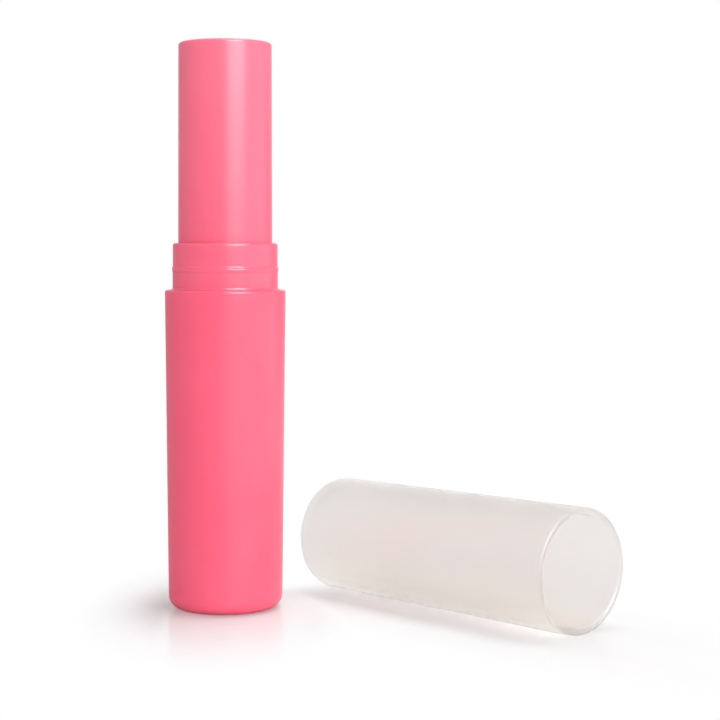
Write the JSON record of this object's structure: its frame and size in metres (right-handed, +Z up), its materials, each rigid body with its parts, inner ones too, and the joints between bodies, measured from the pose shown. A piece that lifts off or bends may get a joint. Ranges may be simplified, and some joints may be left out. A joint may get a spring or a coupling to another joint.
{
  "type": "lip balm stick",
  "caption": "Twist-up lip balm stick with its frosted cap taken off: a tall turning base, a beaded neck, a slim sleeve that holds and guides the balm, and the cap lying beside it.",
  "frame": {"origin": "centre of the base's underside, where the stick stands on the table", "axes": "+Z up along the stick; +X along the lying cap, from its closed end to its mouth; +Y from the stick towards the cap"},
  "size_m": [0.0523, 0.0369, 0.0749],
  "materials": {
    "pink_plastic": "satin moulded polypropylene",
    "frosted_plastic": "frosted translucent polypropylene",
    "natural_plastic": "natural moulded plastic",
    "silicone": "translucent silicone",
    "balm_wax": "cast wax, softly glossy"
  },
  "bodies": {
    "base": {"base_shell": "pink_plastic", "neck_collar": "pink_plastic", "spindle": "natural_plastic"},
    "barrel": {"barrel": "pink_plastic", "brake_ring": "silicone"},
    "lift": {"carrier": "natural_plastic", "balm": "balm_wax"},
    "cap": {"cap": "frosted_plastic"}
  },
  "joints": [
    {"name": "barrel_turn", "type": "hinge", "parent": "base", "child": "barrel", "pos_m": [0, 0, 0], "axis": [0, 0, 1], "range_deg": [0, 4320]},
    {"name": "balm_lift", "type": "slide", "parent": "barrel", "child": "lift", "axis": [0, 0, 1], "range_m": [0, 0.054]},
    {"name": "cap_slide", "type": "slide", "parent": "base", "child": "cap", "axis": [1, 0, 0], "range_m": [0, 0.03]}
  ],
  "couplings": [
    {"joint": "balm_lift", "follows": "barrel_turn", "m_per_rad": 0.0007162}
  ]
}
